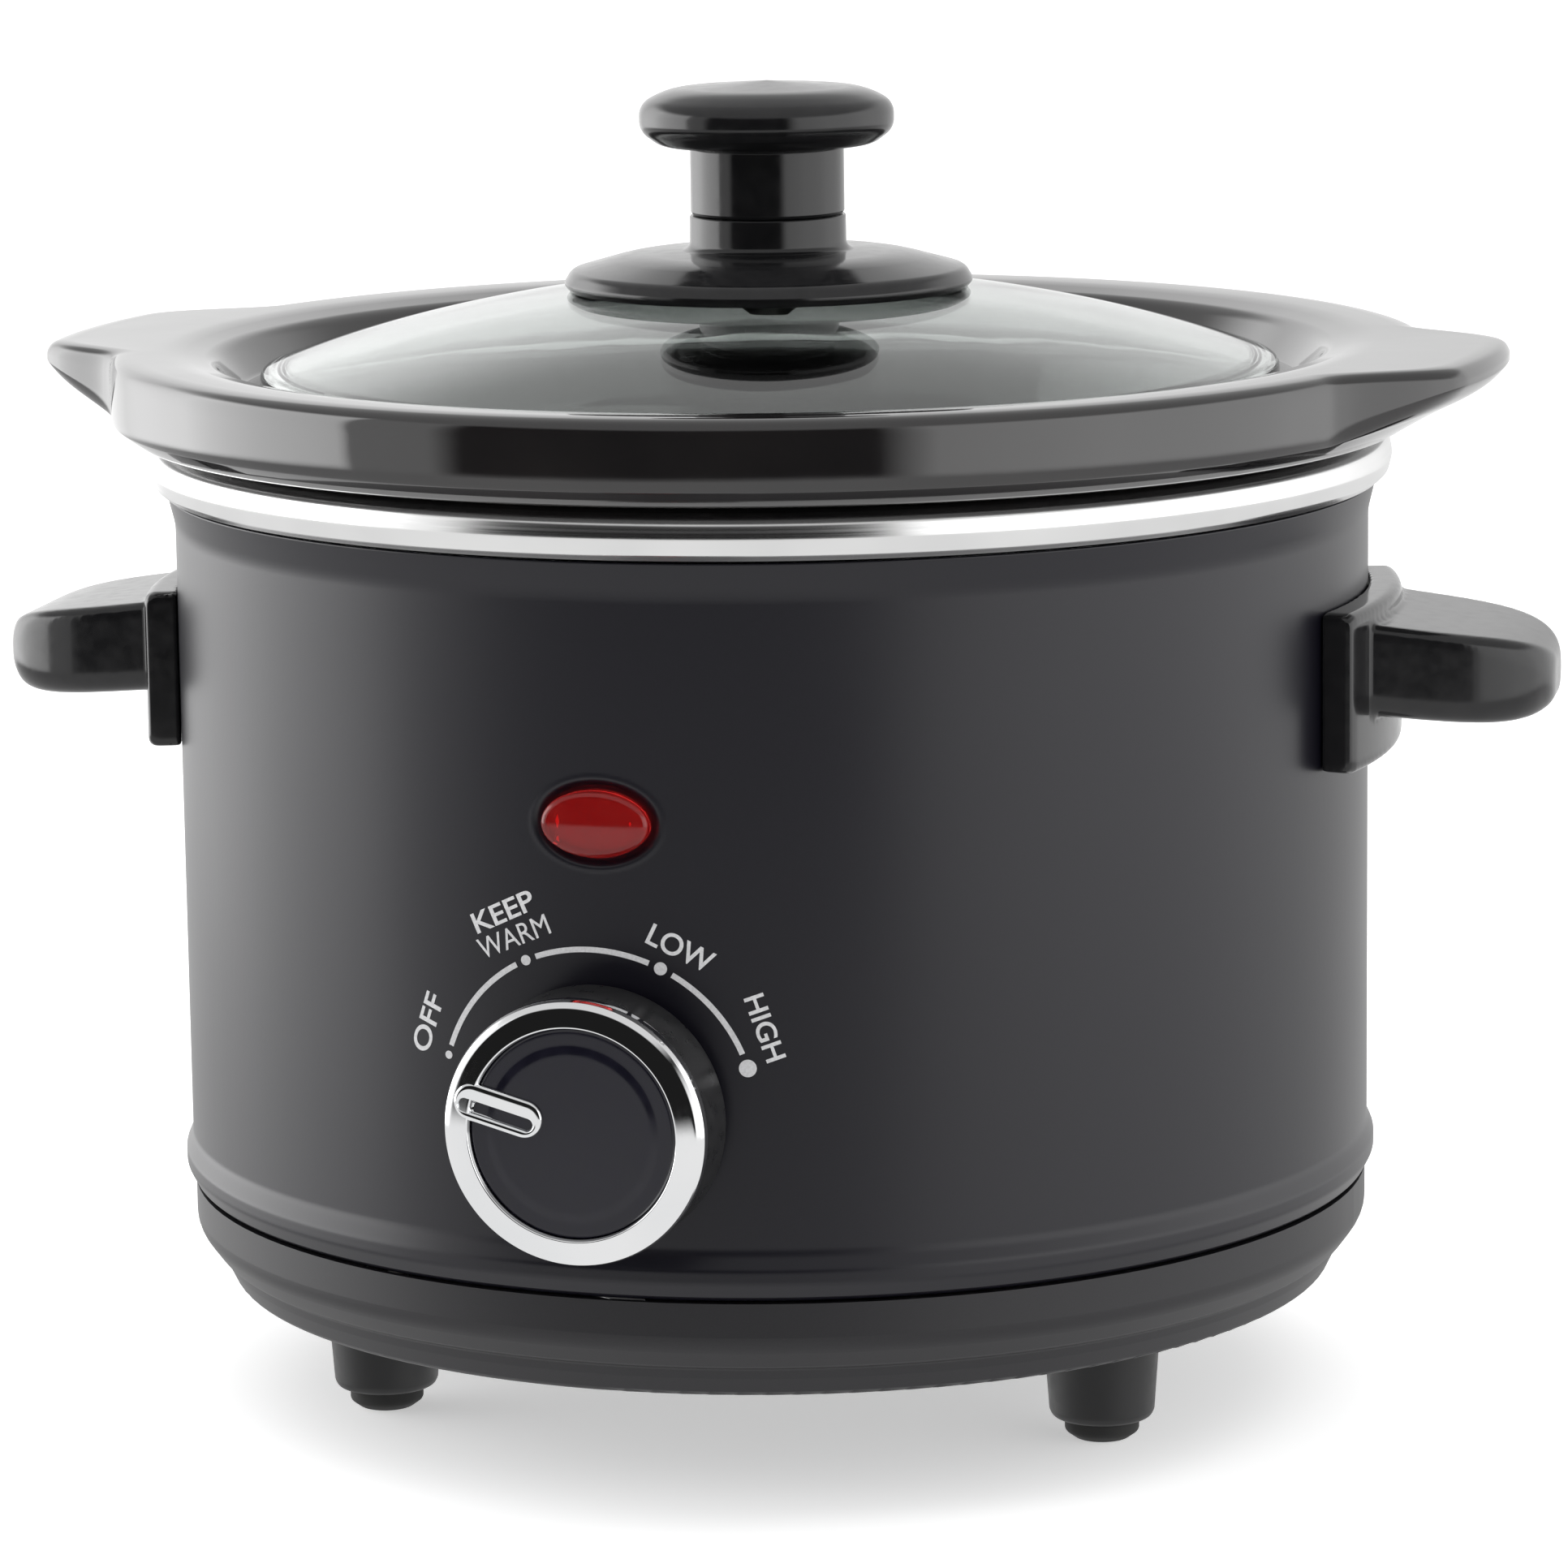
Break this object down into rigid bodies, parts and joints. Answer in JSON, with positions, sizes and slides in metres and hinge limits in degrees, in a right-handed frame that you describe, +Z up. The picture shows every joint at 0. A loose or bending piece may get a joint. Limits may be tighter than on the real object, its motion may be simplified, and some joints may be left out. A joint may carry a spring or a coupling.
{
  "type": "slow cooker",
  "caption": "Small round slow cooker: painted steel body with heated well, lift-out glazed stoneware crock, glass lid, side handles, rotary heat control and pilot light.",
  "frame": {"origin": "on the vertical axis of the round body, in the plane under the feet", "axes": "+Z up, -Y towards the control knob (the front), +X towards the handle on the right when facing the front"},
  "size_m": [0.2516, 0.2146, 0.2096],
  "materials": {
    "shell_paint": "satin charcoal-black coating on steel sheet",
    "pan_paint": "satin charcoal-black coating on steel sheet",
    "steel_polished": "bright polished rolled rim, plain steel inside",
    "heater_foil": "foil over a wound mica heater",
    "glass_wool": "pressed glass fibre blanket",
    "plated_steel": "zinc plated",
    "foot_plastic": "fine moulded grain",
    "pad_rubber": "matt",
    "phenolic": "glossy thermoset moulding",
    "lens_red": "translucent red with moulded ribs",
    "lamp_glass": "clear lamp tube",
    "switch_nylon": "moulded nylon",
    "terminal_brass": "plain",
    "knob_plastic": "semi-gloss moulding",
    "bezel_chrome": "mirror plated",
    "insert_plastic": "gloss disc",
    "block_nylon": "natural nylon",
    "wire_black": "sleeved lead",
    "wire_red": "sleeved lead",
    "wire_yellow": "sleeved lead",
    "wire_white": "sleeved lead",
    "stoneware_glaze": null,
    "lid_glass_clear": "clear tempered glass, faint green tint, rounded edge"
  },
  "bodies": {
    "base_unit": {"band_straps": "plated_steel", "base_pan": "pan_paint", "centre_nut": "plated_steel", "centre_stud": "plated_steel", "centre_washer": "plated_steel", "cord_gland": "foot_plastic", "foot_front_left": "foot_plastic", "foot_front_right": "foot_plastic", "foot_pads": "pad_rubber", "foot_rear": "foot_plastic", "foot_screws": "plated_steel", "fuse_clip": "plated_steel", "handle_left": "phenolic", "handle_right": "phenolic", "handle_screws": "plated_steel", "heater_band": "heater_foil", "heating_well": "steel_polished", "indicator_lens": "lens_red", "insulation_wrap": "glass_wool", "lamp_leads": "wire_white", "lens_retainer": "plated_steel", "neon_lamp": "lamp_glass", "outer_shell": "shell_paint", "rotary_switch": "switch_nylon", "switch_nut": "plated_steel", "switch_terminals": "terminal_brass", "terminal_block": "block_nylon", "terminal_screws": "plated_steel", "thermal_fuse": "plated_steel", "wire_heater_high": "wire_yellow", "wire_heater_low": "wire_red", "wire_live": "wire_black", "wire_neutral": "wire_white"},
    "crock": {"crock": "stoneware_glaze"},
    "lid": {"lid_glass": "lid_glass_clear", "lid_collar": "phenolic", "lid_knob": "phenolic", "lid_washer": "pad_rubber", "lid_screw": "plated_steel"},
    "control_knob": {"switch_shaft": "switch_nylon", "knob_body": "knob_plastic", "knob_bezel": "bezel_chrome", "knob_insert": "insert_plastic", "knob_spring_ring": "plated_steel"}
  },
  "joints": [
    {"name": "crock_lift", "type": "slide", "parent": "base_unit", "child": "crock", "axis": [0, 0, 1], "range_m": [0, 0.13]},
    {"name": "lid_lift", "type": "slide", "parent": "crock", "child": "lid", "axis": [0, 0, 1], "range_m": [0, 0.08]},
    {"name": "knob_turn", "type": "hinge", "parent": "base_unit", "child": "control_knob", "pos_m": [0, -0.1, 0.0638], "axis": [0, 1, 0], "range_deg": [0, 147]}
  ]
}
